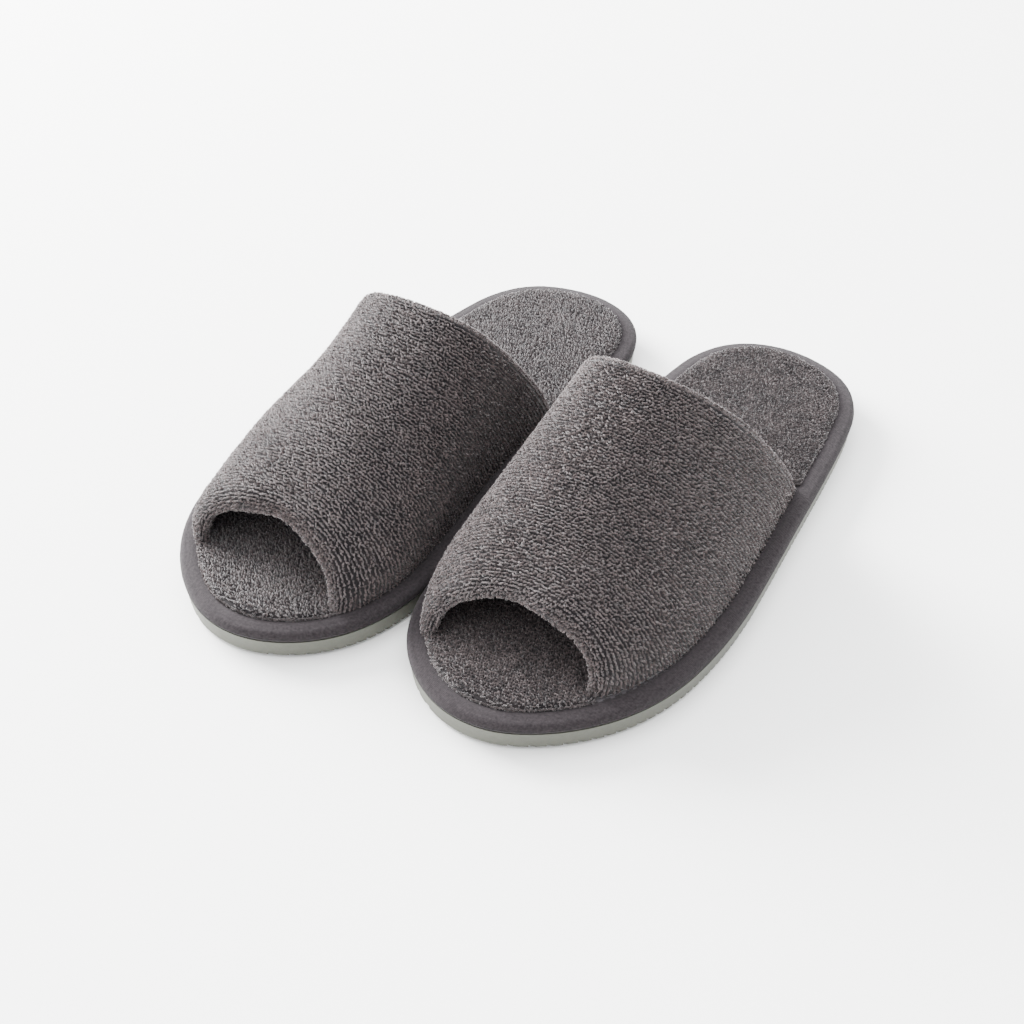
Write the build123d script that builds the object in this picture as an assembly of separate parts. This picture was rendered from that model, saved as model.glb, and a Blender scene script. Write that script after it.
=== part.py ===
from build123d import *
import os
from math import cos, pi, sin, sqrt

# Pair of open-toe terry house slippers with glued EVA soles, in millimetres.
# Frame: +Z up, toes towards -Y, the wearer's left slipper at +X and the right one at -X.
# The origin is on the floor, in the middle of the pair.

os.makedirs("parts", exist_ok=True)

# ---- overall sizes ---------------------------------------------------------
SLIPPER_LENGTH = 280.0      # heel tip to toe tip, over the binding
PAIR_SPACING = 108.0        # between the two slippers' long axes
PAIR_STAGGER = 11.0         # left slipper stands this much further back

# Half-widths of one slipper over the binding: distance, lateral side, medial side.
HEEL_STATIONS = ((18.0, 36.0, 36.3), (58.0, 48.0, 44.8), (125.0, 57.0, 45.5))
TOE_STATIONS = ((90.0, 63.0, 52.6), (46.0, 55.5, 52.0), (16.0, 34.5, 36.5))
TOE_TIP_OFFSET = 2.0        # toe tip stands this much to the lateral side

# ---- sole ------------------------------------------------------------------
OUTSOLE_THICKNESS = 9.2
TREAD_HEIGHT = 1.8          # the lowest part, which steps in all round
TREAD_INSET = 2.8
OUTSOLE_TOP_INSET = 0.5     # outsole's top edge inside the binding's bulge
OUTSOLE_DRAFT = 0.9         # side wall leans in by this much down to the tread
GROOVE_PITCH = 4.0
GROOVE_WIDTH = 1.6
GROOVE_DEPTH = 2.8
MIDSOLE_THICKNESS = 3.6
MIDSOLE_TOP_RADIUS = 2.3
MIDSOLE_BOTTOM_RADIUS = 1.2

# ---- binding strip round the sole's edge -----------------------------------
BINDING_THICKNESS = 0.6
RIM_WIDTH = 7.9             # seen from above, bulge to inner seam
BINDING_MARGIN = 13.0       # turned under the midsole, from the bulge inwards
JOINT_SLIT = 0.4            # butt joint of the strip's two ends
JOINT_STATION = 118.0       # from the heel, on the medial side
JOINT_ANGLE = 35.0

# ---- seam, sock and foam ---------------------------------------------------
SEAM_GAP = 1.0              # groove between the binding and the terry
THREAD_DIAMETER = 0.5
THREAD_LIFT = 0.1           # over the midsole
STITCH_LENGTH = 3.0
STITCH_PITCH = 5.0
TERRY_THICKNESS = 1.8
FOOTBED_RISE = 3.4          # top of the terry above the midsole, in the middle
FOOTBED_DROP = 1.6          # lower than that at the sides of the ball

# ---- vamp: outer terry, sponge and lining ----------------------------------
THROAT_BASE = 92.5          # stations from the heel
THROAT_CREST = 148.0
THROAT_HEIGHT = 79.0        # over the midsole
TOE_EDGE_BASE = 32.0        # stations from the toe
TOE_EDGE_CREST = 39.5
TOE_EDGE_HEIGHT = 33.5
THROAT_ROUNDNESS = {1: 2.0, -1: 2.8}    # superellipse exponents: lateral, medial
TOE_ROUNDNESS = 1.80
MEDIAL_FULLNESS = 5.5       # the vamp swells this much over the instep
OUTER_BASE, OUTER_CREST = 1.6, 2.1
SPONGE_BASE, SPONGE_CREST = 1.4, 2.5
LINING_BASE, LINING_CREST = 1.8, 2.0
HEM_WIDTH = 8.0             # outer terry turned in round both free edges
LAYER_GAP = 0.1             # glue line between the vamp's layers
FOOT_CLEARANCE = 1.0        # vamp's inner face to the footbed's edge
VAMP_SECTIONS = 6
ARCH_POINTS = 10

# ---- levels ----------------------------------------------------------------
BINDING_BOTTOM = OUTSOLE_THICKNESS
MIDSOLE_BOTTOM = BINDING_BOTTOM + BINDING_THICKNESS
MIDSOLE_TOP = MIDSOLE_BOTTOM + MIDSOLE_THICKNESS
BINDING_TOP = MIDSOLE_TOP + BINDING_THICKNESS
SOCK_INSET = RIM_WIDTH + SEAM_GAP
VAMP_STATION_START = THROAT_BASE
VAMP_STATION_END = SLIPPER_LENGTH - TOE_EDGE_BASE
VAMP_BASE = OUTER_BASE + SPONGE_BASE + LINING_BASE
CUTTER_REACH = 400.0        # longer than anything it cuts


def y_of(station):
    """A station, measured from the heel tip, as a Y value with the toes towards -Y."""
    return SLIPPER_LENGTH / 2 - station


def outline_points():
    """Points round one left slipper, seen from above: heel tip, lateral side (+X), toe tip, medial."""
    stations = list(HEEL_STATIONS)
    stations += [(SLIPPER_LENGTH - from_toe, lateral, medial) for from_toe, lateral, medial in TOE_STATIONS]
    lateral_side = [Vector(lateral, y_of(s)) for s, lateral, medial in stations]
    medial_side = [Vector(-medial, y_of(s)) for s, lateral, medial in reversed(stations)]
    heel_tip = Vector(0, y_of(0))
    toe_tip = Vector(TOE_TIP_OFFSET, y_of(SLIPPER_LENGTH))
    return [heel_tip, *lateral_side, toe_tip, *medial_side]


def two_arcs(start, start_along, end, end_along):
    """Two arcs that leave and arrive along the given directions and meet smoothly between."""
    span = end - start
    both = start_along + end_along
    bend = 2 * (1 - start_along.dot(end_along))
    reach = (sqrt(span.dot(both) ** 2 + bend * span.dot(span)) - span.dot(both)) / bend
    middle = (start + start_along * reach + end - end_along * reach) / 2
    first = Edge.make_tangent_arc(start, start_along, middle)
    return first, Edge.make_tangent_arc(middle, first.tangent_at(1), end)


def make_outline():
    """Smooth closed outline of tangent arcs through the points."""
    points = outline_points()
    guide = Edge.make_spline(points, periodic=True)
    along = [guide.tangent_at(guide.param_at_point(point)) for point in points]
    arcs = []
    for i in range(len(points)):
        j = (i + 1) % len(points)
        arcs += two_arcs(points[i], along[i], points[j], along[j])
    return Wire(arcs)


OUTLINE = make_outline()


def inset_wire(inset):
    """The outline moved inwards by a distance."""
    return OUTLINE.offset_2d(-inset) if inset else OUTLINE


def plate(inset, bottom, top):
    """A flat slab of the outline's shape, inset, between two levels."""
    return extrude(Pos(0, 0, bottom) * Face(inset_wire(inset)), top - bottom, dir=(0, 0, 1))


def rounded(slab, top_radius, bottom_radius):
    """Round the top and the bottom edge of a slab."""
    slab = fillet(slab.edges().group_by(Axis.Z)[-1], top_radius)
    return fillet(slab.edges().group_by(Axis.Z)[0], bottom_radius)


def half_width(wire, station, side):
    """X of an inset outline at a station; side is +1 lateral, -1 medial."""
    line = Edge.make_line((0, y_of(station)), (side * CUTTER_REACH, y_of(station)))
    for edge in wire.edges():
        crossings = edge.find_intersection_points(line)
        if crossings:
            return crossings[0].X
    raise ValueError(f"the outline is not crossed at station {station}")


# ---- sole pieces -----------------------------------------------------------
def make_outsole():
    """EVA sole with a slightly leaning side wall, an undercut tread and grooves right across it."""
    top_edge = Pos(0, 0, OUTSOLE_THICKNESS) * inset_wire(OUTSOLE_TOP_INSET)
    tread_top = Pos(0, 0, TREAD_HEIGHT) * inset_wire(OUTSOLE_TOP_INSET + OUTSOLE_DRAFT)
    floor_edge = inset_wire(OUTSOLE_TOP_INSET + OUTSOLE_DRAFT + TREAD_INSET)
    sole = Solid.make_loft([floor_edge, tread_top, top_edge], ruled=True)
    count = int((SLIPPER_LENGTH - 2 * GROOVE_PITCH) / GROOVE_PITCH)
    first = -GROOVE_PITCH * (count - 1) / 2
    groove = Box(CUTTER_REACH, GROOVE_WIDTH, 2 * GROOVE_DEPTH)
    grooves = [Pos(0, first + i * GROOVE_PITCH, 0) * groove for i in range(count)]
    return sole - grooves


def make_binding(midsole):
    """Fabric strip: over the rim, down the side and turned under the midsole's margin."""
    skin = rounded(
        plate(0, BINDING_BOTTOM, BINDING_TOP),
        MIDSOLE_TOP_RADIUS + BINDING_THICKNESS,
        MIDSOLE_BOTTOM_RADIUS + BINDING_THICKNESS,
    )
    skin -= midsole
    skin -= plate(RIM_WIDTH, MIDSOLE_TOP, BINDING_TOP + 1)
    skin -= plate(BINDING_MARGIN, BINDING_BOTTOM - 1, MIDSOLE_BOTTOM)
    slit = Box(SOCK_INSET * 4, JOINT_SLIT, CUTTER_REACH)
    medial_x = half_width(OUTLINE, JOINT_STATION, -1)
    return skin - Pos(medial_x, y_of(JOINT_STATION), 0) * Rot(0, 0, JOINT_ANGLE) * slit


def make_rim_stitching():
    """Thread lying in the seam groove, one short length for each stitch."""
    path = inset_wire(RIM_WIDTH + SEAM_GAP / 2)
    count = round(path.length / STITCH_PITCH)
    stitch = Rot(0, 90, 0) * Cylinder(THREAD_DIAMETER / 2, STITCH_LENGTH)
    level = MIDSOLE_TOP + THREAD_LIFT + THREAD_DIAMETER / 2
    stitches = []
    for i in range(count):
        t = i / count
        along = path.tangent_at(t)
        turn = Vector(1, 0, 0).get_signed_angle(along, Vector(0, 0, 1))
        place = path.position_at(t)
        stitches.append(Pos(place.X, place.Y, level) * Rot(0, 0, turn) * stitch)
    return Compound(children=stitches)


# ---- vamp ------------------------------------------------------------------
def arch(u, base_cut, crest_cut):
    """Arch across the vamp at u: a superellipse in a plane that leans with the throat or toe edge.

    base_cut and crest_cut are how far it lies inside the outer face at the base and at the crest.
    """
    base = VAMP_STATION_START + (VAMP_STATION_END - VAMP_STATION_START) * u
    crest_end = SLIPPER_LENGTH - TOE_EDGE_CREST
    crest = THROAT_CREST + (crest_end - THROAT_CREST) * u
    full_height = THROAT_HEIGHT + (TOE_EDGE_HEIGHT - THROAT_HEIGHT) * u
    lean = (crest - base) / full_height
    height = full_height - crest_cut
    sides = {side: half_width(SOCK_EDGE, base, side) - side * base_cut for side in (1, -1)}
    points = []
    for i in range(ARCH_POINTS + 1):
        angle = pi * i / ARCH_POINTS
        side = 1 if i <= ARCH_POINTS / 2 else -1
        power = 2 / (THROAT_ROUNDNESS[side] + (TOE_ROUNDNESS - THROAT_ROUNDNESS[side]) * u)
        x = sides[side] * abs(cos(angle)) ** power
        if side < 0:
            x += MEDIAL_FULLNESS * (1 - u**2) * sin(2 * angle)
        rise = height * max(sin(angle), 0) ** power
        points.append((x, y_of(base + lean * rise), MIDSOLE_TOP + rise))
    return points


def layer(outer_cut, inner_cut):
    """Solid between two arches, carried from the throat to the toe edge."""
    sections = []
    for i in range(VAMP_SECTIONS):
        u = i / (VAMP_SECTIONS - 1)
        outer = arch(u, *outer_cut)
        inner = arch(u, *inner_cut)
        sections.append(
            Wire(
                [
                    Edge.make_spline(outer),
                    Edge.make_line(outer[-1], inner[-1]),
                    Edge.make_spline(inner[::-1]),
                    Edge.make_line(inner[0], outer[0]),
                ]
            )
        )
    return Solid.make_loft(sections)


def deeper(cut):
    """A layer's outer face, a glue line further in than the layer over it."""
    return cut[0] + LAYER_GAP, cut[1] + LAYER_GAP


def between_hems(solid, gap):
    """The part of a vamp layer that lies between the two turned hems, a gap short of them."""
    throat_lean = (THROAT_CREST - VAMP_STATION_START) / THROAT_HEIGHT
    toe_lean = (SLIPPER_LENGTH - TOE_EDGE_CREST - VAMP_STATION_END) / TOE_EDGE_HEIGHT
    for station, lean, facing in (
        (VAMP_STATION_START + HEM_WIDTH + gap, throat_lean, -1),
        (VAMP_STATION_END - HEM_WIDTH - gap, toe_lean, 1),
    ):
        normal = Vector(0, 1, lean) * facing
        plane = Plane(origin=(0, y_of(station), MIDSOLE_TOP), z_dir=normal)
        solid = split(solid, bisect_by=plane, keep=Keep.TOP)
    return solid


def make_vamp():
    """The vamp's outer terry, sponge and lining."""
    face = (0, 0)
    under_terry = (OUTER_BASE, OUTER_CREST)
    under_sponge = (OUTER_BASE + SPONGE_BASE, OUTER_CREST + SPONGE_CREST)
    inside = (VAMP_BASE, under_sponge[1] + LINING_CREST)
    well_inside = (inside[0] + LINING_BASE, inside[1] + LINING_CREST)
    outer = layer(face, inside) - between_hems(layer(under_terry, well_inside), 0)
    sponge = between_hems(layer(deeper(under_terry), under_sponge), LAYER_GAP)
    lining = between_hems(layer(deeper(under_sponge), inside), LAYER_GAP)
    return outer, sponge, lining


# ---- footbed ---------------------------------------------------------------
def domed(inset, rise):
    """Slab on the midsole whose top is a wide barrel, highest along the slipper's middle."""
    half = HALF_BALL_WIDTH
    radius = (half**2 + FOOTBED_DROP**2) / (2 * FOOTBED_DROP)
    slab = plate(inset, MIDSOLE_TOP, MIDSOLE_TOP + rise + 1)
    barrel = Rot(90, 0, 0) * Cylinder(radius, CUTTER_REACH)
    return slab & Pos(0, 0, MIDSOLE_TOP + rise - radius) * barrel


def vamp_margins(extra):
    """Strips along both sides of the sock where the vamp stands, and a little extra, kept free."""
    clear = FOOT_CLEARANCE + extra
    ring = plate(SOCK_INSET - SEAM_GAP, MIDSOLE_TOP - 1, MIDSOLE_TOP + 2 * FOOTBED_RISE)
    ring -= plate(SOCK_INSET + VAMP_BASE + clear, MIDSOLE_TOP - 2, MIDSOLE_TOP + 3 * FOOTBED_RISE)
    length = VAMP_STATION_END - VAMP_STATION_START + 2 * clear
    middle = (VAMP_STATION_END + VAMP_STATION_START) / 2
    return ring & Pos(0, y_of(middle), MIDSOLE_TOP) * Box(CUTTER_REACH, length, CUTTER_REACH)


def make_footbed():
    """Terry sock cover turned down round its foam, both narrower where the vamp stands."""
    wall = SOCK_INSET + TERRY_THICKNESS
    foam = domed(wall, FOOTBED_RISE - TERRY_THICKNESS) - vamp_margins(TERRY_THICKNESS)
    cover = domed(SOCK_INSET, FOOTBED_RISE) - vamp_margins(0)
    return foam, cover - foam


# ---- one left slipper ------------------------------------------------------
SOCK_EDGE = inset_wire(SOCK_INSET)
HALF_BALL_WIDTH = half_width(SOCK_EDGE, SLIPPER_LENGTH - TOE_STATIONS[0][0], 1)


def make_slipper():
    """Every piece of the left slipper, centred on its own long axis."""
    midsole = rounded(
        plate(BINDING_THICKNESS, MIDSOLE_BOTTOM, MIDSOLE_TOP), MIDSOLE_TOP_RADIUS, MIDSOLE_BOTTOM_RADIUS
    )
    vamp_outer, vamp_sponge, vamp_lining = make_vamp()
    footbed_foam, footbed_cover = make_footbed()
    return {
        "outsole": make_outsole(),
        "insole_board": plate(BINDING_MARGIN, BINDING_BOTTOM, MIDSOLE_BOTTOM),
        "midsole": midsole,
        "binding": make_binding(midsole),
        "rim_stitching": make_rim_stitching(),
        "footbed_foam": footbed_foam,
        "footbed_cover": footbed_cover,
        "vamp_outer": vamp_outer,
        "vamp_sponge": vamp_sponge,
        "vamp_lining": vamp_lining,
    }


for name, piece in make_slipper().items():
    left = Pos(PAIR_SPACING / 2, PAIR_STAGGER / 2, 0) * piece
    right = Pos(-PAIR_SPACING / 2, -PAIR_STAGGER / 2, 0) * mirror(piece, about=Plane.YZ)
    export_step(left, f"parts/left_{name}.step")
    export_step(right, f"parts/right_{name}.step")
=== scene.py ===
import math

import bpy
import numpy as np
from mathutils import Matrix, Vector


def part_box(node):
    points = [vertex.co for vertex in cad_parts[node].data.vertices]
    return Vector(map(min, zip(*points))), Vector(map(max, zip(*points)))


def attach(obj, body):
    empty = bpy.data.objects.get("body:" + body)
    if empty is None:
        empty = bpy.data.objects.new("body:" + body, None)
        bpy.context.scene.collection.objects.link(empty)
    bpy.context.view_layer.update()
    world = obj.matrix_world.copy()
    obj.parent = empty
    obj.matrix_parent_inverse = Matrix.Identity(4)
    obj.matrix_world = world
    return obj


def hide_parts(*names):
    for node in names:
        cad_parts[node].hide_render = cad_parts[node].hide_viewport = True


# Pair of open-toe terry house slippers on a pale studio floor.
# Each slipper is worked out once, in millimetres round its own long axis (x towards the wearer's
# outer side, toes towards -y), and then set down as the left one or mirrored as the right one.

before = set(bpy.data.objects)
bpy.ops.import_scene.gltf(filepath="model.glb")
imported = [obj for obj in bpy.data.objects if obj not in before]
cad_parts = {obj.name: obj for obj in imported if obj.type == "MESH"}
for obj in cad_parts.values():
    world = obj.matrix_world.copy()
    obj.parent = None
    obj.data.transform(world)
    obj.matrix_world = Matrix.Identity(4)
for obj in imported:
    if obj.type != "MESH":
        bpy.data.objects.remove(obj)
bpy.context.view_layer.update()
MM = 0.001

# ---- camera and lights -----------------------------------------------------
CAMERA_AZIMUTH, CAMERA_ELEVATION = 33.35, 40.13
CAMERA_DISTANCE = 0.7874
CAMERA_TARGET = Vector((-0.00296, -0.01413, 0.0012))
CAMERA_LENS = 64.13


def from_angles(azimuth, elevation):
    """Unit vector towards something seen at an azimuth (0 is in front of the toes) and an elevation."""
    a, e = math.radians(azimuth), math.radians(elevation)
    return Vector((math.sin(a) * math.cos(e), -math.cos(a) * math.cos(e), math.sin(e)))


def aim(thing, target):
    """Turn a camera or a lamp towards a point."""
    thing.rotation_euler = (target - thing.location).to_track_quat("-Z", "Y").to_euler()


def make_camera():
    """A viewpoint over the toes, from the wearer's left."""
    camera = bpy.data.objects.new("camera", bpy.data.cameras.new("camera"))
    camera.data.lens = CAMERA_LENS
    camera.data.clip_start, camera.data.clip_end = 0.01, 50
    camera.location = CAMERA_TARGET + from_angles(CAMERA_AZIMUTH, CAMERA_ELEVATION) * CAMERA_DISTANCE
    aim(camera, CAMERA_TARGET)
    bpy.context.collection.objects.link(camera)
    bpy.context.scene.camera = camera


def make_lamp(name, azimuth, elevation, distance, size, power):
    """A square soft box that looks at the slippers."""
    lamp = bpy.data.objects.new(name, bpy.data.lights.new(name, "AREA"))
    lamp.data.size = size
    lamp.data.energy = power
    lamp.location = from_angles(azimuth, elevation) * distance
    aim(lamp, Vector((0, 0, 0.03)))
    bpy.context.collection.objects.link(lamp)


def linear(hex_colour):
    """An sRGB hex colour as the linear RGBA that shaders take."""
    parts = np.array([int(hex_colour[i : i + 2], 16) for i in (1, 3, 5)]) / 255
    parts = np.where(parts <= 0.04045, parts / 12.92, ((parts + 0.055) / 1.055) ** 2.4)
    return (*parts.tolist(), 1.0)


def add(tree, kind, inputs=None, **settings):
    """Add a node: settings are its properties, inputs are constants or other nodes' sockets."""
    node = tree.nodes.new(kind)
    for name, value in settings.items():
        setattr(node, name, value)
    for name, value in (inputs or {}).items():
        if isinstance(value, bpy.types.NodeSocket):
            tree.links.new(value, node.inputs[name])
        else:
            node.inputs[name].default_value = value
    return node


WORLD_FADE = (-0.7, 0.9)    # cosines to the bright side between which the world goes from dim to bright


def make_world(colour, dim, bright, bright_side):
    """Light from a white room that is brighter towards one side than the other."""
    world = bpy.data.worlds.new("studio")
    world.use_nodes = True
    tree = world.node_tree
    way = add(tree, "ShaderNodeTexCoord").outputs["Generated"]
    facing = add(tree, "ShaderNodeVectorMath", {0: way, 1: bright_side}, operation="DOT_PRODUCT")
    ramp = {"Value": facing.outputs["Value"], "To Min": dim, "To Max": bright}
    ramp["From Min"], ramp["From Max"] = WORLD_FADE
    strength = add(tree, "ShaderNodeMapRange", ramp, interpolation_type="SMOOTHSTEP")
    background = tree.nodes["Background"]
    background.inputs["Color"].default_value = linear(colour)
    tree.links.new(strength.outputs["Result"], background.inputs["Strength"])
    bpy.context.scene.world = world


make_camera()
make_lamp("key", azimuth=-98, elevation=22, distance=2.2, size=1.3, power=450)
make_world("#F6F7F9", dim=1.25, bright=6.5, bright_side=from_angles(-125, 32))


# ---- materials -------------------------------------------------------------
def new_material(name):
    """An empty material and its node tree."""
    material = bpy.data.materials.new(name)
    material.use_nodes = True
    material.node_tree.nodes.clear()
    return material, material.node_tree


def finish_material(tree, shader):
    """Send a shader to the material's output."""
    add(tree, "ShaderNodeOutputMaterial", {"Surface": shader.outputs[0]})


def position(tree):
    """Object coordinates in millimetres."""
    where = add(tree, "ShaderNodeTexCoord").outputs["Object"]
    scale = (1 / MM,) * 3
    return add(tree, "ShaderNodeVectorMath", {0: where, 1: scale}, operation="MULTIPLY").outputs[0]


def noise(tree, where, size, detail=2.0, roughness=0.5):
    """Cloudy values from 0 to 1, whose lumps are about this many millimetres across."""
    settings = {"Vector": where, "Scale": 1 / size, "Detail": detail, "Roughness": roughness}
    return add(tree, "ShaderNodeTexNoise", settings).outputs["Fac"]


def between(tree, amount, dark, light):
    """A colour between two, by an amount from 0 to 1."""
    inputs = {0: amount, 6: linear(dark), 7: linear(light)}
    return add(tree, "ShaderNodeMix", inputs, data_type="RGBA").outputs[2]


def terry_material():
    """Cotton terry: matt loops of a heathered warm grey yarn, with a soft bloom where fibres face away."""
    material, tree = new_material("terry")
    where = position(tree)
    tone = add(tree, "ShaderNodeAttribute", attribute_name="tone").outputs["Fac"]
    patch = noise(tree, where, 9.0, detail=3.0)
    mixed = add(tree, "ShaderNodeMath", {0: patch, 1: 0.5, 2: tone}, operation="MULTIPLY_ADD").outputs[0]
    amount = add(tree, "ShaderNodeMath", {0: mixed, 1: 0.22}, operation="SUBTRACT", use_clamp=True).outputs[0]
    colour = between(tree, amount, TERRY_DARK, TERRY_LIGHT)
    bump = add(tree, "ShaderNodeBump", {"Height": noise(tree, where, 0.35), "Distance": 0.0002, "Strength": 0.6})
    inputs = {
        "Base Color": colour,
        "Roughness": 0.95,
        "Specular IOR Level": 0.15,
        "Sheen Weight": 0.35,
        "Sheen Roughness": 0.45,
        "Normal": bump.outputs[0],
    }
    finish_material(tree, add(tree, "ShaderNodeBsdfPrincipled", inputs))
    return material


def binding_material():
    """Plain-woven polycotton tape: fine crossing threads, matt, a touch of sheen."""
    material, tree = new_material("binding tape")
    uv = add(tree, "ShaderNodeUVMap", uv_map="OFBake").outputs[0]
    size = (BINDING_LENGTH / THREAD_PITCH, BINDING_WIDTH / THREAD_PITCH, 1)
    threads = add(tree, "ShaderNodeVectorMath", {0: uv, 1: size}, operation="MULTIPLY").outputs[0]
    waves = []
    for direction in ("X", "Y"):
        inputs = {"Vector": threads, "Scale": 1 / math.pi, "Distortion": 0.6, "Detail": 1.0}
        wave = add(tree, "ShaderNodeTexWave", inputs, bands_direction=direction)
        waves.append(wave.outputs["Fac"])
    weave = add(tree, "ShaderNodeMath", {0: waves[0], 1: waves[1]}, operation="MULTIPLY").outputs[0]
    where = position(tree)
    cloudy = noise(tree, where, 1.1, detail=4.0, roughness=0.7)
    mottled = add(tree, "ShaderNodeMath", {0: cloudy, 1: 1.4, 2: -0.3}, operation="MULTIPLY_ADD").outputs[0]
    amount = add(tree, "ShaderNodeMath", {0: weave, 1: 0.5, 2: mottled}, operation="MULTIPLY_ADD", use_clamp=True)
    amount = amount.outputs[0]
    colour = between(tree, amount, BINDING_DARK, BINDING_LIGHT)
    bump = add(tree, "ShaderNodeBump", {"Height": amount, "Distance": 0.0003, "Strength": 0.7})
    inputs = {
        "Base Color": colour,
        "Roughness": 0.9,
        "Specular IOR Level": 0.1,
        "Sheen Weight": 0.05,
        "Normal": bump.outputs[0],
    }
    finish_material(tree, add(tree, "ShaderNodeBsdfPrincipled", inputs))
    return material


def foam_material(name, dark, light):
    """Closed-cell EVA: dull, slightly mottled, with a fine pebbled skin."""
    material, tree = new_material(name)
    where = position(tree)
    colour = between(tree, noise(tree, where, 2.2, detail=4.0, roughness=0.6), dark, light)
    grain = noise(tree, where, 0.5, detail=3.0)
    bump = add(tree, "ShaderNodeBump", {"Height": grain, "Distance": 0.0002, "Strength": 0.45})
    inputs = {"Base Color": colour, "Roughness": 0.62, "Specular IOR Level": 0.35, "Normal": bump.outputs[0]}
    finish_material(tree, add(tree, "ShaderNodeBsdfPrincipled", inputs))
    return material


TERRY_DARK, TERRY_LIGHT = "#131012", "#584E4D"
BINDING_DARK, BINDING_LIGHT = "#080608", "#353032"
BINDING_WIDTH, BINDING_LENGTH = 14.0, 700.0     # tape that shows, and its way round the sole
THREAD_PITCH = 0.55

TERRY = terry_material()
BINDING = binding_material()
OUTSOLE = foam_material("eva outsole", "#4A4B43", "#575850")
MIDSOLE = foam_material("eva midsole", "#4A4749", "#595558")
BOARD = foam_material("filler board", "#B9AC93", "#CDC2AA")
SPONGE = foam_material("soft sponge", "#C9C6BC", "#DEDBD2")
THREAD = foam_material("thread", "#151214", "#2A2628")


# ---- placing and building --------------------------------------------------
LONG_AXIS = 54.0            # from the middle of the pair to a slipper's long axis
STAGGER = 5.5
SIDES = {"left": 1, "right": -1}
SEEDS = {"tape": 7, "outer": 11, "lining": 12, "fuzz": 31, "footbed": 23}


def place(points, side):
    """Slipper millimetres to the pair's metres: the right one is the left one mirrored."""
    x = side * (points[..., 0] + LONG_AXIS)
    return np.stack([x, points[..., 1] + side * STAGGER, points[..., 2]], -1) * MM


def own_cells(count):
    """Corner UVs that give each of so many four-cornered faces a small square of its own."""
    across = math.ceil(math.sqrt(count))
    cell = np.stack([np.arange(count) % across, np.arange(count) // across], -1)
    corners = np.array([(0.15, 0.15), (0.85, 0.15), (0.85, 0.85), (0.15, 0.85)])
    return (cell[:, None] + corners[None]) / across


def make_mesh(name, points, quads, side, material, uv=None, tone=None):
    """A mesh object from slipper points and four-cornered faces, with UVs and an optional tone per point."""
    quads = quads if side > 0 else quads[:, ::-1]
    mesh = bpy.data.meshes.new(name)
    mesh.vertices.add(len(points))
    mesh.vertices.foreach_set("co", place(points, side).astype(np.float32).ravel())
    mesh.loops.add(quads.size)
    mesh.loops.foreach_set("vertex_index", quads.astype(np.int32).ravel())
    mesh.polygons.add(len(quads))
    mesh.polygons.foreach_set("loop_start", np.arange(0, quads.size, 4, dtype=np.int32))
    mesh.polygons.foreach_set("loop_total", np.full(len(quads), 4, dtype=np.int32))
    mesh.polygons.foreach_set("use_smooth", np.ones(len(quads), dtype=bool))
    corners = own_cells(len(quads)) if uv is None else uv[quads]
    mesh.uv_layers.new(name="OFBake").data.foreach_set("uv", corners.astype(np.float32).ravel())
    if tone is not None:
        mesh.attributes.new("tone", "FLOAT", "POINT").data.foreach_set("value", tone.astype(np.float32))
    mesh.update(calc_edges=True)
    mesh.validate()
    mesh.materials.append(material)
    piece = bpy.data.objects.new(name, mesh)
    bpy.context.collection.objects.link(piece)
    return piece


def grid_quads(rows, columns, wrap_rows=False, wrap_columns=False):
    """Corner numbers of the faces of a rows x columns grid of points, joined round where it wraps."""
    i = np.arange(rows if wrap_rows else rows - 1)[:, None]
    j = np.arange(columns if wrap_columns else columns - 1)[None, :]
    next_i, next_j = (i + 1) % rows, (j + 1) % columns
    corners = [i * columns + j, next_i * columns + j, next_i * columns + next_j, i * columns + next_j]
    return np.stack([c + 0 * (i + j) for c in corners], -1).reshape(-1, 4)


def smooth_step(t):
    """0 below 0, 1 above 1, and a soft ramp between."""
    t = np.clip(t, 0, 1)
    return t * t * (3 - 2 * t)


# ---- the outline, read from the sole ---------------------------------------
OUTSOLE_INSET = 0.5         # the sole's top edge lies this far inside the binding's bulge
OUTLINE_POINTS = 1600
OUTLINE_WAVES = 48


def read_outline():
    """Evenly spaced points round the binding's bulge and their outward directions.

    The sole's top edge is put in order round its middle, spaced evenly, smoothed by keeping its
    slowest waves, and moved outwards by the sole's inset.
    """
    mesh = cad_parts["left_outsole"].data
    points = np.empty(len(mesh.vertices) * 3, dtype=np.float32)
    mesh.vertices.foreach_get("co", points)
    points = points.reshape(-1, 3).astype(float) / MM
    rim = points[points[:, 2] > points[:, 2].max() - 0.01][:, :2] - (LONG_AXIS, STAGGER)
    rim = rim[np.argsort(np.arctan2(rim[:, 1], rim[:, 0]))]
    step = np.hypot(*(np.roll(rim, -1, axis=0) - rim).T)
    rim = rim[step > 0.01]
    closed = np.vstack([rim, rim[:1]])
    travelled = np.concatenate([[0], np.cumsum(np.hypot(*np.diff(closed, axis=0).T))])
    even = np.linspace(0, travelled[-1], OUTLINE_POINTS, endpoint=False)
    line = np.interp(even, travelled, closed[:, 0]) + 1j * np.interp(even, travelled, closed[:, 1])
    waves = np.fft.fft(line)
    waves[OUTLINE_WAVES:-OUTLINE_WAVES] = 0
    line = np.fft.ifft(waves)
    along = np.fft.ifft(waves * np.fft.fftfreq(OUTLINE_POINTS) * 2j * np.pi)
    outward = -1j * along / np.abs(along)
    line = line + outward * OUTSOLE_INSET
    return np.stack([line.real, line.imag], -1), np.stack([outward.real, outward.imag], -1)


OUTLINE, OUTWARD = read_outline()
HEEL_Y = OUTLINE[:, 1].max()
AROUND = np.concatenate([[0], np.cumsum(np.hypot(*np.diff(OUTLINE, axis=0).T))])


def inset_edge(inset):
    """The outline moved inwards; the inset may differ from point to point."""
    return OUTLINE - OUTWARD * np.reshape(inset, (-1, 1))


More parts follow.
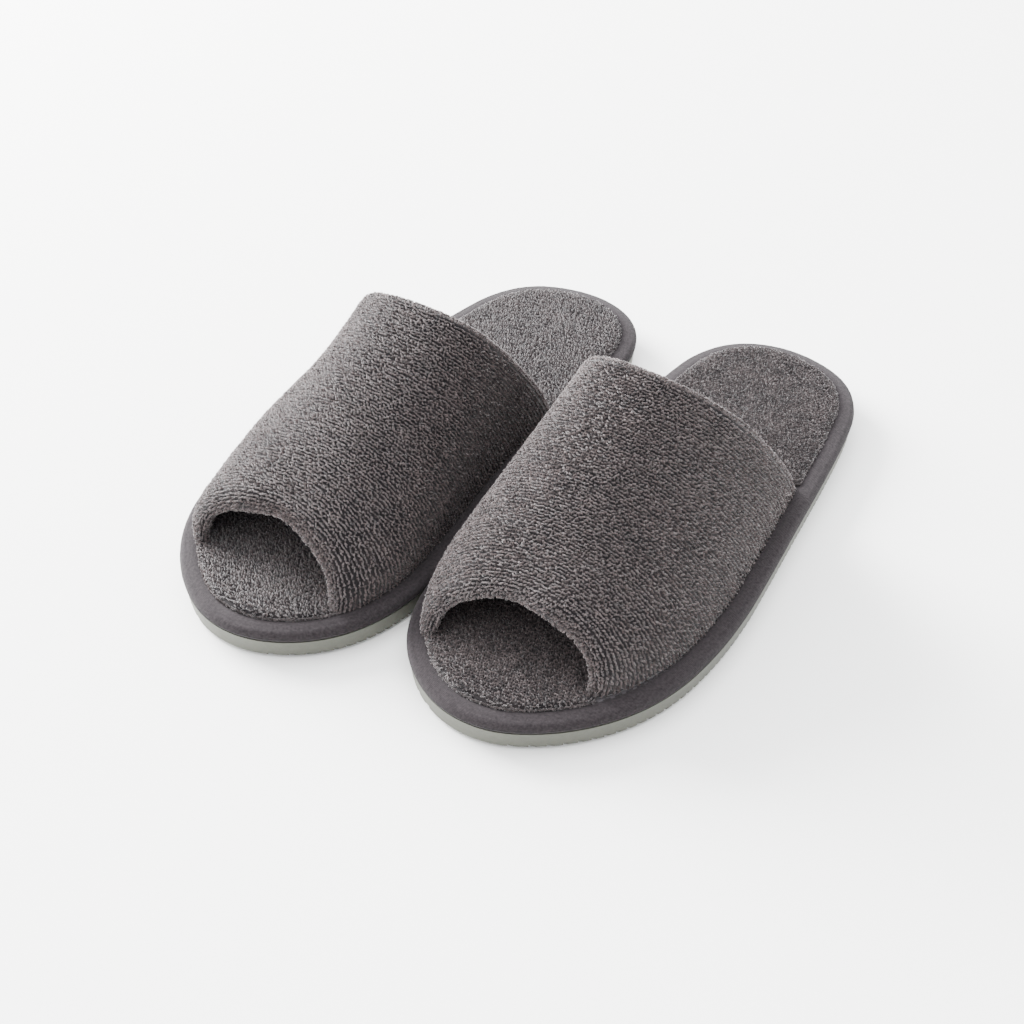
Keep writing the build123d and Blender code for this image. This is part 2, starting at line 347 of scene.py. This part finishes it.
def station_of(y):
    """Distance from the heel tip."""
    return HEEL_Y - y


def edge_x(edge, station, side):
    """x of an edge at stations, on the outer (+1) or the inner (-1) side."""
    half = edge[edge[:, 0] * side > 0]
    half = half[np.argsort(half[:, 1])]
    return np.interp(HEEL_Y - np.asarray(station, float), half[:, 1], half[:, 0])


# ---- binding tape ----------------------------------------------------------
SOLE_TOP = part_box("left_outsole")[1][2] / MM
MIDSOLE_TOP = SOLE_TOP + 4.2    # the tape's turned-under layer and the midsole
RIM_TOP = SOLE_TOP + 4.8        # and the tape again over them
RIM_WIDTH = 7.9
TAPE_CROWN, TAPE_LIFT = 0.35, 0.05      # its bow over the rim, and its clearance over the sole
UPPER_RADIUS, LOWER_RADIUS = 2.9, 1.9   # of the tape's bulge, over and under
JOINT_STATION = 118.0
JOINT_LEAN = 0.75           # how far the joint runs along the tape for each millimetre across it
JOINT_DEPTH, JOINT_WIDTH = 0.7, 0.45
FINE_REACH = 6.0            # the tape's points lie close together this far from its ends
PUCKERS = (61, 97, 143, 211)    # waves round the tape
PUCKER_DEPTH, PUCKER_LEAN = 0.012, 0.15


def tape_profile():
    """Inset and height across the tape, from its inner seam over the rim and down the side."""
    under = SOLE_TOP + TAPE_LIFT
    turn_under = [(3.4, under), (2.2, under)]
    bottom = np.radians(np.linspace(-90, 0, 9))
    top = np.radians(np.linspace(0, 90, 15))
    low, high = LOWER_RADIUS, UPPER_RADIUS
    side = [(low - low * math.cos(a), under + low + low * math.sin(a)) for a in bottom]
    over = [(high - high * math.cos(a), RIM_TOP - high + high * math.sin(a)) for a in top]
    across = np.linspace(0, 1, 14)[1:]
    flat = [(high + (RIM_WIDTH - high) * t, RIM_TOP + TAPE_CROWN * math.sin(math.pi * t)) for t in across]
    turned = [(RIM_WIDTH + 0.25, RIM_TOP - 0.25), (RIM_WIDTH + 0.3, MIDSOLE_TOP + 0.05)]
    return np.array(turn_under + side + over + flat + turned)


def make_binding(name, side):
    """The profile carried once round the outline, from one end of the tape to the other.

    Both ends are cut at a slant across the rim and dip a little where they meet. Shallow puckers
    run across the tape all the way round.
    """
    profile = tape_profile()
    width = np.concatenate([[0], np.cumsum(np.hypot(*np.diff(profile, axis=0).T))])
    length = AROUND[-1] + np.hypot(*(OUTLINE[0] - OUTLINE[-1]))
    medial = np.flatnonzero(OUTLINE[:, 0] < 0)
    joint = AROUND[medial[np.argmin(abs(station_of(OUTLINE[medial, 1]) - JOINT_STATION))]]
    close = np.geomspace(0.12, FINE_REACH, 16)
    even = np.linspace(FINE_REACH, length - FINE_REACH, 760)[1:-1]
    travel = np.concatenate([[0], close, even, length - close[::-1], [length]])
    slant = JOINT_LEAN * (width - width[-1] / 2)
    s = (joint + travel[:, None] + slant[None, :]) % length
    wrapped = np.vstack([np.c_[OUTLINE, OUTWARD], np.r_[OUTLINE[0], OUTWARD[0]]])
    at = np.concatenate([AROUND, [length]])
    x, y, nx, ny = (np.interp(s, at, wrapped[:, k]) for k in range(4))
    from_end = np.minimum(travel, length - travel)[:, None]
    dip = JOINT_DEPTH * np.exp(-((from_end / JOINT_WIDTH) ** 2))
    rng = np.random.default_rng(SEEDS["tape"])
    pucker = np.zeros_like(s)
    for waves_round in PUCKERS:
        phase = rng.uniform(0, 2 * np.pi)
        turned = 2 * np.pi * waves_round * s / length + phase + PUCKER_LEAN * width[None, :]
        pucker += PUCKER_DEPTH * np.sin(turned)
    bow = np.sin(np.clip(width / width[-1], 0, 1) * np.pi)[None, :]
    across = profile[None, :, 0]
    inset = across + dip * (across < UPPER_RADIUS) - pucker * bow * (across < UPPER_RADIUS)
    height = profile[None, :, 1] + (pucker * 1.3 - dip) * bow * (across >= 1.2)
    points = np.stack([x - nx * inset, y - ny * inset, height + 0 * s], -1)
    rows, columns = s.shape
    uv = np.stack(np.broadcast_arrays(travel[:, None] / length, width[None, :] / width[-1]), -1)
    quads = grid_quads(rows, columns)[:, ::-1]
    return make_mesh(name, points.reshape(-1, 3), quads, side, BINDING, uv.reshape(-1, 2))


# ---- footbed ---------------------------------------------------------------
SOCK_INSET = RIM_WIDTH + 0.4
VAMP_START, VAMP_END = 92.5, 250.0      # stations of the vamp's base
VAMP_MARGIN = 6.0           # the sock is this much narrower where the vamp stands
FOOTBED_RISE = 3.1          # over the midsole, to the roots of the pile
FOOTBED_DROP = 1.6
FOOTBED_LIP = 1.1           # at its very edge the sock already stands this high
FOOTBED_ROUND = 1.8         # edge radius
HALF_BALL = 53.0


def sock_edge():
    """Edge of the sock: inside the rim, and further in along the vamp."""
    station = station_of(OUTLINE[:, 1])
    beside_vamp = smooth_step((station - VAMP_START + 4) / 5) * smooth_step((VAMP_END + 4 - station) / 5)
    return inset_edge(SOCK_INSET + VAMP_MARGIN * beside_vamp)


SOCK_EDGE = sock_edge()


def footbed_height(x, y, from_edge):
    """Barrel-shaped across, rolled down to the midsole at its edge, with slow swells."""
    barrel = FOOTBED_RISE - FOOTBED_DROP * (x / HALF_BALL) ** 2
    swell = 0.25 * np.sin(x / 17 + 1) * np.sin(y / 26) + 0.15 * np.sin(x / 9 - y / 13)
    roll = np.sqrt(1 - (1 - np.clip(from_edge / FOOTBED_ROUND, 0, 1)) ** 2)
    return MIDSOLE_TOP + FOOTBED_LIP * (from_edge > 0) + (barrel + swell - FOOTBED_LIP) * roll


def make_footbed(name, side):
    """Rings from the sock's edge to its spine: close together on the rolled edge, then even."""
    steps = np.concatenate([[0, 0.02, 0.45, 0.9, 1.5, 2.2], np.linspace(3, 60, 36)])
    spine_y = np.clip(SOCK_EDGE[:, 1], SOCK_EDGE[:, 1].min() + 46, SOCK_EDGE[:, 1].max() - 38)
    stations = station_of(spine_y)
    spine_x = (edge_x(SOCK_EDGE, stations, 1) + edge_x(SOCK_EDGE, stations, -1)) / 2
    spine = np.stack([spine_x, spine_y], -1)[::4]
    edge = SOCK_EDGE[::4]
    reach = np.hypot(*(spine - edge).T)
    part = np.minimum(steps[:, None] / reach[None, :], 1)
    part[-1] = 1
    flat = edge[None] + (spine - edge)[None] * part[..., None]
    height = footbed_height(flat[..., 0], flat[..., 1], steps[:, None])
    points = np.concatenate([flat, height[..., None]], -1)
    span = np.ptp(edge, axis=0)
    uv = (flat - edge.min(0)) / span.max() * 0.98 + 0.01
    # the skin under the pile takes tone 0, the darkest yarn colour: painted shade in the gaps between the loops
    tone = np.zeros(points.shape[0] * points.shape[1])
    quads = grid_quads(*points.shape[:2], wrap_columns=True)
    return make_mesh(name, points.reshape(-1, 3), quads, side, TERRY, uv.reshape(-1, 2), tone)


# ---- vamp ------------------------------------------------------------------
THROAT_CREST, TOE_CREST = 148.5, 240.5
THROAT_HEIGHT, TOE_HEIGHT = 78.5, 34.0
# In the next two, 1 is the slipper's outer half and -1 its inner half.
ROUNDNESS = {1: (2.0, 1.8), -1: (2.8, 1.85)}            # superellipse exponents at the throat and the toe
FULLNESS = {1: (3.5, -1.0, 3.5), -1: (6.3, 6.0, 2.0)}   # swell at the throat, midway and at the toe
# How far the toe edge runs forward at its outer and its inner end: 1 is the left slipper, -1 the right.
TOE_ENDS = {1: (-3.0, 4.5), -1: (1.5, 2.0)}
TOE_FLARE = 3.5             # the toe roll stands out over the rim by this much, on the outer side
BASE_THICKNESS, CREST_THICKNESS = 5.0, 7.0
FOLD_REACH = 0.022          # how much of the vamp's length each rolled edge takes
ARCH_STEPS = 127
OUTER_STEPS, FOLD_STEPS = 110, 14


def arch(u, thickness_share, toe_ends):
    """Arches across the vamp, one for each u: leaning superellipses, evenly stepped along their length.

    u runs from the throat (0) to the toe edge (1); thickness_share from the outer face (0) to the lining (1).
    """
    u = np.asarray(u, float)[:, None]
    share = np.asarray(thickness_share, float)[:, None]
    base = VAMP_START + (VAMP_END - VAMP_START) * u
    crest = THROAT_CREST + (TOE_CREST - THROAT_CREST) * u
    full = THROAT_HEIGHT + (TOE_HEIGHT - THROAT_HEIGHT) * u
    lean = (crest - base) / full
    height = full - CREST_THICKNESS * share
    edge = inset_edge(SOCK_INSET + 0.3)
    angle = np.linspace(0, np.pi, 4 * ARCH_STEPS)[None, :]
    within = np.clip(u, 0, 1)
    x, rise = 0, 0
    for side, half in ((1, angle <= np.pi / 2), (-1, angle > np.pi / 2)):
        throat, toe = ROUNDNESS[side]
        power = 2 / (throat + (toe - throat) * within)
        foot = edge_x(edge, base, side) - side * BASE_THICKNESS * share
        at_throat, midway, at_toe = FULLNESS[side]
        swell = at_throat * (1 - within) * (1 - 2 * within) + 4 * midway * within * (1 - within)
        swell += at_toe * within * (2 * within - 1)
        if side > 0:
            swell = swell + TOE_FLARE * smooth_step((within - 0.82) / 0.18)
        x = x + half * (foot * np.abs(np.cos(angle)) ** power + side * swell * np.abs(np.sin(2 * angle)))
        rise = rise + half * height * np.clip(np.sin(angle), 0, None) ** power
    outer_end, inner_end = toe_ends
    forward = outer_end * np.clip(np.cos(angle), 0, 1) + inner_end * np.clip(-np.cos(angle), 0, 1)
    station = base + lean * rise + forward * within
    curve = np.stack([x, HEEL_Y - station, MIDSOLE_TOP + rise], -1)
    even = np.linspace(0, 1, ARCH_STEPS)
    rows = []
    for line in curve:
        travelled = np.concatenate([[0], np.cumsum(np.linalg.norm(np.diff(line, axis=0), axis=1))])
        rows.append(np.stack([np.interp(even * travelled[-1], travelled, line[:, k]) for k in range(3)], -1))
    return np.array(rows)


def vamp_section():
    """u and thickness share round the vamp's section: outer face, toe roll, lining, throat roll."""
    face = np.linspace(FOLD_REACH, 1 - FOLD_REACH, OUTER_STEPS)
    turn = np.linspace(0, np.pi, FOLD_STEPS + 2)[1:-1]
    u = np.concatenate(
        [face, 1 - FOLD_REACH + FOLD_REACH * np.sin(turn), face[::-1], FOLD_REACH - FOLD_REACH * np.sin(turn)]
    )
    roll = (1 - np.cos(turn)) / 2
    share = np.concatenate([0 * face, roll, 0 * face + 1, 1 - roll])
    return u, share


def normals_of(points, wrap_rows=False):
    """Unit directions square to a grid of points."""
    if wrap_rows:
        down = np.roll(points, -1, axis=0) - np.roll(points, 1, axis=0)
    else:
        down = np.gradient(points, axis=0)
    across = np.gradient(points, axis=1)
    normal = np.cross(across, down)
    return normal / np.maximum(np.linalg.norm(normal, axis=-1, keepdims=True), 1e-9)


def vamp_grid(toe_ends):
    """The vamp's closed padded skin: section round, arch across, with a soft uneven fullness."""
    u, share = vamp_section()
    points = arch(u, share, toe_ends)
    normal = normals_of(points, wrap_rows=True)
    t = np.linspace(0, 1, ARCH_STEPS)[None, :]
    up_from_base = smooth_step(np.sin(np.pi * t) * 3)
    swell = 0.5 * np.sin(9.2 * t + 5 * u[:, None]) + 0.35 * np.sin(21 * t - 8 * u[:, None] + 1.3)
    fullness = (0.5 + swell) * up_from_base
    return points + normal * fullness[..., None]


def make_vamp(name, side, grid):
    """The vamp's skin as one closed ring of faces, with its two feet stopped by narrow caps."""
    rows, columns = grid.shape[:2]
    quads = grid_quads(rows, columns, wrap_rows=True)[:, ::-1]
    half = rows // 2
    first = np.arange(half - 1)
    mirror = rows - 1 - first
    foot = np.stack([first, first + 1, mirror - 1, mirror], -1) * columns
    caps = np.concatenate([foot, foot[:, ::-1] + columns - 1])
    row = np.arange(rows)[:, None] / rows
    column = np.arange(columns)[None, :] / (columns - 1)
    uv = np.stack(np.broadcast_arrays(0.01 + 0.98 * row, 0.01 + 0.98 * column), -1)
    quads = np.concatenate([quads, caps])
    # the skin under the pile takes tone 0, the darkest yarn colour: painted shade in the gaps between the loops
    tone = np.zeros(rows * columns)
    return make_mesh(name, grid.reshape(-1, 3), quads, side, TERRY, uv.reshape(-1, 2), tone)


# ---- terry pile ------------------------------------------------------------
FIBRE_WIDTH, FIBRE_REACH, FIBRE_COUNT = 0.07, 2.3, 9000
FOOTBED_PAINTED_SHADE = {"heel": 0.36, "toe": 0.55}   # painted shade: the sock's pile is darkened, the heel more than the toe, as it faces the light from above
PILE_PITCH, ROW_PITCH = 1.02, 1.33    # loop to loop along a row, and row to row
LINING_PITCH, LINING_SIZE = 1.5, 1.25  # the lining's pile is sparser, with larger loops
LOOP_LENGTH, LOOP_HEIGHT, YARN_RADIUS = 1.0, 1.0, 0.32


def loops(roots, normals, along, seed, size=1.0, painted_shade_scale=1.0):
    """Small arched loops of yarn, each three straight lengths of a three-sided tube.

    Every loop stands on its root along its normal, turned, leaned and scaled at random, and takes
    one tone of the heathered yarn.
    """
    rng = np.random.default_rng(seed)
    count = len(roots)
    path = np.array([(-0.5, -0.35), (-0.3, 0.8), (0.3, 0.85), (0.5, -0.35)])
    ring = np.radians(np.array([90, 210, 330]))
    turn = rng.normal(0.35, 0.45, count)
    across = np.cross(normals, along)
    across /= np.maximum(np.linalg.norm(across, axis=1, keepdims=True), 1e-9)
    along = np.cross(across, normals)
    way = along * np.cos(turn)[:, None] + across * np.sin(turn)[:, None]
    off = np.cross(normals, way)
    length = LOOP_LENGTH * size * rng.uniform(0.75, 1.3, count)
    height = LOOP_HEIGHT * size * rng.uniform(0.6, 1.25, count)
    lean = rng.normal(0.15, 0.35, count)
    radius = YARN_RADIUS * size * rng.uniform(0.85, 1.2, count)
    a = path[None, :, 0] * length[:, None]
    h = path[None, :, 1] * height[:, None]
    out = np.array([(-0.9, 0.2), (-0.5, 0.85), (0.5, 0.85), (0.9, 0.2)])
    upright = normals + off * lean[:, None]
    middle = roots[:, None] + way[:, None] * a[..., None] + upright[:, None] * h[..., None]
    ring_up = way[:, None] * out[None, :, 0, None] + normals[:, None] * out[None, :, 1, None]
    points = (
        middle[:, :, None]
        + ring_up[:, :, None] * (np.sin(ring)[None, None, :, None] * radius[:, None, None, None])
        + off[:, None, None] * (np.cos(ring)[None, None, :, None] * radius[:, None, None, None])
    )
    one = grid_quads(4, 3, wrap_columns=True)
    quads = (np.arange(count)[:, None, None] * 12 + one[None]).reshape(-1, 4)
    # each loop's random heathered tone, times a scale that paints shade onto the footbed pile (1 elsewhere)
    tone = np.repeat(rng.uniform(0.25, 0.95, count) * painted_shade_scale, 12)
    return points.reshape(-1, 3), quads, tone


def roots_on_grid(points, normal, pitch, rng):
    """Even but jittered places on a grid of points, with normals and the direction of the rows.

    Rows lie a pitch apart down the grid; along a row the count follows the row's length.
    """
    middle = points[:, points.shape[1] // 2]
    down = np.concatenate([[0], np.cumsum(np.linalg.norm(np.diff(middle, axis=0), axis=1))])
    row_count = max(2, round(down[-1] / (pitch * ROW_PITCH / PILE_PITCH)))
    at = np.interp((np.arange(row_count) + 0.5) / row_count * down[-1], down, np.arange(len(down)))
    row_length = np.linalg.norm(np.diff(points, axis=1), axis=2).sum(1)
    lengths = np.interp(at, np.arange(len(down)), row_length)
    counts = np.maximum(1, np.round(lengths / pitch)).astype(int)
    i, j = np.meshgrid(np.arange(row_count), np.arange(counts.max()), indexing="ij")
    kept = j < counts[i]
    i, j = i[kept], j[kept]
    rows = np.clip(at[i] + rng.normal(0, 0.16, len(i)), 0, len(points) - 1.001)
    t = (j + 0.5 * (i % 2) + rng.normal(0, 0.16, len(i))) / counts[i]
    columns = np.clip(t, 0, 0.9999) * (points.shape[1] - 1)
    r, c = rows.astype(int), columns.astype(int)
    fr, fc = (rows - r)[:, None], (columns - c)[:, None]

    def blend(values):
        upper = values[r, c] * (1 - fc) + values[r, c + 1] * fc
        lower = values[r + 1, c] * (1 - fc) + values[r + 1, c + 1] * fc
        return upper * (1 - fr) + lower * fr

    n = blend(normal)
    along = blend(np.gradient(points, axis=1))
    return blend(points), n / np.linalg.norm(n, axis=1, keepdims=True), along


def make_pile(name, side, roots, normals, along, seed, size=1.0, painted_shade_scale=1.0):
    """A patch of pile on given roots."""
    points, quads, tone = loops(roots, normals, along, seed, size, painted_shade_scale)
    return make_mesh(name, points, quads, side, TERRY, None, tone)


def make_fuzz(name, side, roots, normals, along, count, seed):
    """Loose fibre ends that stand out of the pile: thin tapering slivers in random directions."""
    rng = np.random.default_rng(seed)
    picked = rng.integers(0, len(roots), count)
    root, up, across = roots[picked], normals[picked], along[picked]
    across = across / np.maximum(np.linalg.norm(across, axis=1, keepdims=True), 1e-9)
    stray = rng.normal(0, 0.8, (count, 3)) * (1, 1, 0.6)
    way = up + stray
    way /= np.linalg.norm(way, axis=1, keepdims=True)
    width = np.cross(way, across + 0.1) * (FIBRE_WIDTH / 2)
    length = rng.uniform(1.2, FIBRE_REACH, count)[:, None]
    middle = root + way * length * 0.6
    tip = root + way * length + rng.normal(0, 0.3, (count, 3))
    corners = [(root, -1), (root, 1), (middle, 1), (middle, -1), (tip, 1 / 3), (tip, -1 / 3)]
    points = np.stack([centre + width * share for centre, share in corners], 1)
    quads = np.array([(0, 1, 2, 3), (3, 2, 4, 5)])
    quads = (np.arange(count)[:, None, None] * 6 + quads[None]).reshape(-1, 4)
    # the loose fibres are real, but giving every one the lightest yarn tone is a painted highlight: the light
    # fringe along edges and silhouettes
    return make_mesh(name, points.reshape(-1, 3), quads, side, TERRY, None, np.full(count * 6, 0.95))


def vamp_pile(side_name, side, grid):
    """Pile on the vamp's outer face and both rolled edges, and a sparser one on its lining."""
    normal = normals_of(grid, wrap_rows=True)
    rolled = np.r_[-FOLD_STEPS:0, 0 : OUTER_STEPS + FOLD_STEPS] % len(grid)
    lining = np.arange(OUTER_STEPS + FOLD_STEPS - 1, len(grid) - FOLD_STEPS + 1)
    pieces = []
    coats = (("outer", rolled, PILE_PITCH, 1.0), ("lining", lining, LINING_PITCH, LINING_SIZE))
    for part, rows, pitch, size in coats:
        seed = SEEDS[part]
        rng = np.random.default_rng(seed)
        roots, n, along = roots_on_grid(grid[rows], normal[rows], pitch, rng)
        clear = roots[:, 2] > MIDSOLE_TOP + 0.6
        roots, n, along = roots[clear], n[clear], along[clear]
        cuts = np.array_split(np.arange(len(roots)), 2 if part == "outer" else 1)
        for label, some in zip(("a", "b"), cuts):
            name = f"{side_name}_vamp_{part}_pile_{label}"
            pieces.append(make_pile(name, side, roots[some], n[some], along[some], seed, size))
        if part == "outer":
            name = f"{side_name}_vamp_fuzz"
            pieces.append(make_fuzz(name, side, roots, n, along, FIBRE_COUNT, SEEDS["fuzz"]))
    return pieces


def edge_loops(rng):
    """Roots and outward, rising directions of the loops that lean over the rim from the sock's edge."""
    at = np.arange(0, len(SOCK_EDGE), 1.6)
    at = np.concatenate([at, at + 0.8]) + rng.normal(0, 0.3, 2 * len(at))
    index = np.round(at).astype(int) % len(SOCK_EDGE)
    height = MIDSOLE_TOP + np.where(np.arange(len(at)) < len(at) / 2, 0.7, 1.2)
    roots = np.concatenate([SOCK_EDGE[index] - OUTWARD[index] * 0.1, height[:, None]], -1)
    way = np.concatenate([OUTWARD[index] * 0.75, np.full((len(at), 1), 0.66)], -1)
    return roots, way


def footbed_pile(side_name, side):
    """Pile over the whole sock, in straight jittered rows."""
    rng = np.random.default_rng(SEEDS["footbed"])
    low, high = SOCK_EDGE.min(0), SOCK_EDGE.max(0)
    rows, columns = np.arange(low[1], high[1], ROW_PITCH), np.arange(low[0], high[0], PILE_PITCH)
    y, x = np.meshgrid(rows, columns, indexing="ij")
    x = x + (np.arange(len(y)) % 2)[:, None] * PILE_PITCH / 2
    x, y = (v.ravel() + rng.normal(0, 0.15, v.size) for v in (x, y))
    station = station_of(y)
    inside = (x < edge_x(SOCK_EDGE, station, 1)) & (x > edge_x(SOCK_EDGE, station, -1))
    inside &= (y > low[1]) & (y < high[1])
    x, y = x[inside], y[inside]
    edge = SOCK_EDGE[::4]
    away = (x[:, None] - edge[None, :, 0]) ** 2 + (y[:, None] - edge[None, :, 1]) ** 2
    from_edge = np.sqrt(away.min(1))
    nearest = edge[np.argmin(away, axis=1)]
    kept = from_edge > 0.15
    x, y, from_edge, nearest = x[kept], y[kept], from_edge[kept], nearest[kept]
    height = footbed_height(x, y, from_edge)
    outward = (nearest - np.stack([x, y], -1)) / from_edge[:, None]
    tip = np.clip(1 - from_edge / FOOTBED_ROUND, 0, 1)[:, None]
    n = np.concatenate([outward * tip, np.sqrt(1 - tip**2) + 0.02], -1)
    n /= np.linalg.norm(n, axis=1, keepdims=True)
    roots = np.stack([x, y, height], -1)
    along = np.tile((1.0, 0.0, 0.0), (len(x), 1))
    border, border_out = edge_loops(rng)
    roots = np.concatenate([roots, border])
    n = np.concatenate([n, border_out])
    along = np.concatenate([along, np.cross(border_out, (0.0, 0.0, 1.0))])
    pieces = []
    # painted shade: the sock's heel and toe pile are darkened, each by its own scale
    for label, some in (("heel", roots[:, 1] > 0), ("toe", roots[:, 1] <= 0)):
        name, tone = f"{side_name}_footbed_pile_{label}", FOOTBED_PAINTED_SHADE[label]
        pieces.append(make_pile(name, side, roots[some], n[some], along[some], SEEDS["footbed"], 1.0, tone))
    return pieces


# ---- both slippers ---------------------------------------------------------
def finish_node(node, material):
    """Give a kept CAD node its finish."""
    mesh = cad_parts[node].data
    mesh.materials.clear()
    mesh.materials.append(material)


for side_name, side in SIDES.items():
    body = f"{side_name}_slipper"
    binding = make_binding(f"{side_name}_binding_tape", side)
    footbed = make_footbed(f"{side_name}_footbed_terry", side)
    grid = vamp_grid(TOE_ENDS[side])
    vamp = make_vamp(f"{side_name}_vamp_terry", side, grid)
    piles = vamp_pile(side_name, side, grid) + footbed_pile(side_name, side)
    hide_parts(f"{side_name}_binding")
    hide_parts(f"{side_name}_footbed_cover")
    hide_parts(f"{side_name}_vamp_outer", f"{side_name}_vamp_sponge", f"{side_name}_vamp_lining")
    for piece in (binding, footbed, vamp, *piles):
        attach(piece, body)
    finish_node(f"{side_name}_outsole", OUTSOLE)
    finish_node(f"{side_name}_midsole", MIDSOLE)
    finish_node(f"{side_name}_insole_board", BOARD)
    finish_node(f"{side_name}_footbed_foam", SPONGE)
    finish_node(f"{side_name}_rim_stitching", THREAD)


# ---- floor -----------------------------------------------------------------
def make_floor():
    """A wide sheet of matt off-white paper."""
    material, tree = new_material("paper")
    shader = add(tree, "ShaderNodeBsdfPrincipled", {"Base Color": linear("#F2F2F0"), "Roughness": 0.9})
    shader.inputs["Specular IOR Level"].default_value = 0.1
    finish_material(tree, shader)
    mesh = bpy.data.meshes.new("floor")
    mesh.from_pydata([(-8, -8, 0), (8, -8, 0), (8, 8, 0), (-8, 8, 0)], [], [(0, 1, 2, 3)])
    mesh.materials.append(material)
    floor = bpy.data.objects.new("floor", mesh)
    bpy.context.collection.objects.link(floor)


make_floor()
